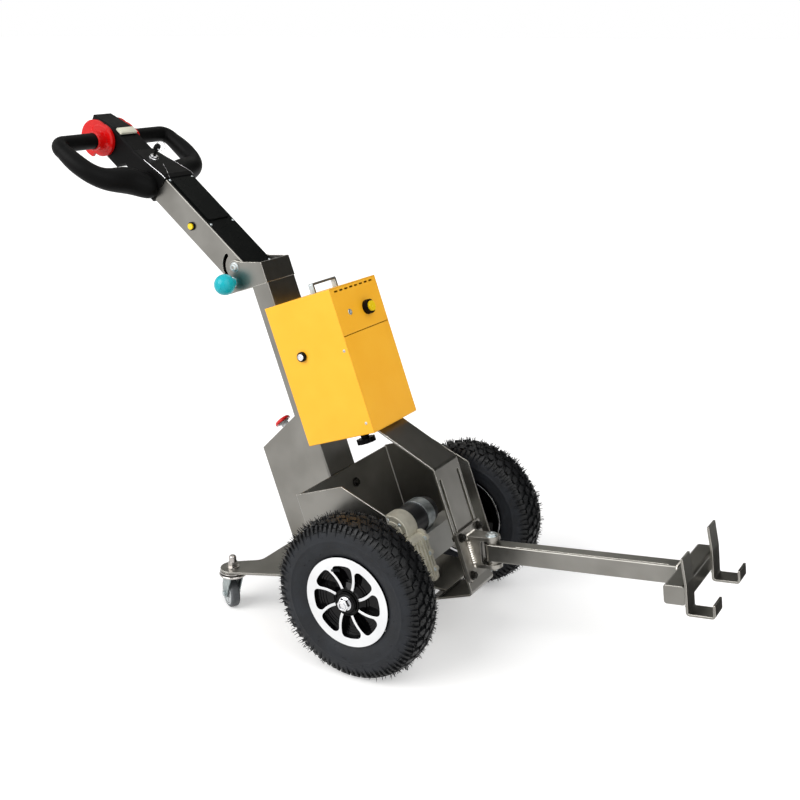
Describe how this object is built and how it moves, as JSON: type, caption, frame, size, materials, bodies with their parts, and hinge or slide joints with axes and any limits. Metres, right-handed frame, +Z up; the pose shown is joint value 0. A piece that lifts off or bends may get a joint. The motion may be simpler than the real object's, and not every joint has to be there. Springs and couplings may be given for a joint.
{
  "type": "pedestrian tow tractor",
  "caption": "Walk-behind electric tow tractor: leaning column with battery box, driven pneumatic wheels, rear casters, folding tiller with loop handle, and swinging tow arm with hooks.",
  "frame": {"origin": "floor, at the middle of the footprint's bounding box", "axes": "+X forward to the tow hooks, +Y to the machine's left, +Z up"},
  "size_m": [1.839, 0.708, 1.2601],
  "materials": {
    "sheet_grey": "satin metallic grey powder coat",
    "box_yellow": "satin yellow powder coat",
    "tyre_rubber": "black rubber",
    "rim_alloy": "machined face, black pockets",
    "black_plastic": "fine grain",
    "red_plastic": "gloss",
    "turquoise_plastic": "gloss",
    "yellow_plastic": "gloss",
    "ivory_plastic": "satin",
    "zinc_steel": "zinc plated",
    "chrome_steel": "polished",
    "cast_alloy": "as cast",
    "motor_black": "satin black",
    "caster_rubber": "grey rubber",
    "battery_case": "moulded"
  },
  "bodies": {
    "chassis": {"base_plate": "sheet_grey", "chassis_shell": "sheet_grey", "front_strap": "sheet_grey", "column": "sheet_grey", "column_box": "sheet_grey", "tiller_bracket": "sheet_grey", "tiller_pivot_bolt": "zinc_steel", "tiller_clamp_knob": "turquoise_plastic", "battery_cabinet": "box_yellow", "cabinet_upper_panel": "box_yellow", "cabinet_lower_panel": "box_yellow", "battery_block": "battery_case", "cabinet_handle": "zinc_steel", "cabinet_button_bezel": "black_plastic", "cabinet_button_cap": "yellow_plastic", "cabinet_lock": "black_plastic", "cabinet_clamp_knob": "black_plastic", "emergency_stop": "red_plastic", "cable_gland": "black_plastic", "gearbox_housing": "cast_alloy", "axle_tubes": "sheet_grey", "drive_motor": "motor_black", "motor_band": "zinc_steel", "hitch_bracket": "sheet_grey", "hitch_bolts": "zinc_steel", "hitch_pin": "zinc_steel", "caster_stems": "chrome_steel"},
    "left_wheel": {"left_tyre": "tyre_rubber", "left_rim": "rim_alloy", "left_axle_shaft": "chrome_steel"},
    "right_wheel": {"right_tyre": "tyre_rubber", "right_rim": "rim_alloy", "right_axle_shaft": "chrome_steel"},
    "left_caster": {"left_caster_fork": "zinc_steel", "left_caster_axle": "zinc_steel"},
    "right_caster": {"right_caster_fork": "zinc_steel", "right_caster_axle": "zinc_steel"},
    "left_caster_roller": {"left_caster_wheel": "caster_rubber"},
    "right_caster_roller": {"right_caster_wheel": "caster_rubber"},
    "tow_arm": {"tow_arm_tube": "sheet_grey", "tow_crossbar": "sheet_grey", "tow_hooks": "sheet_grey"},
    "tiller": {"tiller_arm": "sheet_grey", "tiller_cover": "black_plastic", "tiller_panel": "black_plastic", "side_button_bezel": "black_plastic", "side_button_cap": "yellow_plastic", "handle_loop": "black_plastic", "control_pod": "black_plastic", "rocker_switch": "ivory_plastic", "key_switch": "black_plastic", "throttle_wings": "red_plastic"}
  },
  "joints": [
    {"name": "left_wheel_spin", "type": "hinge", "parent": "chassis", "child": "left_wheel", "pos_m": [0.1186, 0.2905, 0.203], "axis": [0, 1, 0], "continuous": true},
    {"name": "right_wheel_spin", "type": "hinge", "parent": "chassis", "child": "right_wheel", "pos_m": [0.1186, -0.2905, 0.203], "axis": [0, 1, 0], "continuous": true},
    {"name": "left_caster_swivel", "type": "hinge", "parent": "chassis", "child": "left_caster", "pos_m": [-0.3324, 0.2, 0.118], "axis": [0, 0, 1], "continuous": true},
    {"name": "left_caster_roll", "type": "hinge", "parent": "left_caster", "child": "left_caster_roller", "pos_m": [-0.35297, 0.21236, 0.04], "axis": [0.515, 0.8572, 0], "continuous": true},
    {"name": "right_caster_swivel", "type": "hinge", "parent": "chassis", "child": "right_caster", "pos_m": [-0.3324, -0.2, 0.118], "axis": [0, 0, 1], "continuous": true},
    {"name": "right_caster_roll", "type": "hinge", "parent": "right_caster", "child": "right_caster_roller", "pos_m": [-0.35297, -0.18764, 0.04], "axis": [0.515, 0.8572, 0], "continuous": true},
    {"name": "tow_arm_swing", "type": "hinge", "parent": "chassis", "child": "tow_arm", "pos_m": [0.3326, 0, 0.252], "axis": [-0.1305, 0, 0.9914], "range_deg": [-60, 60]},
    {"name": "tiller_fold", "type": "hinge", "parent": "chassis", "child": "tiller", "pos_m": [-0.39633, 0, 0.89749], "axis": [0, -1, 0], "range_deg": [-15, 115]}
  ]
}
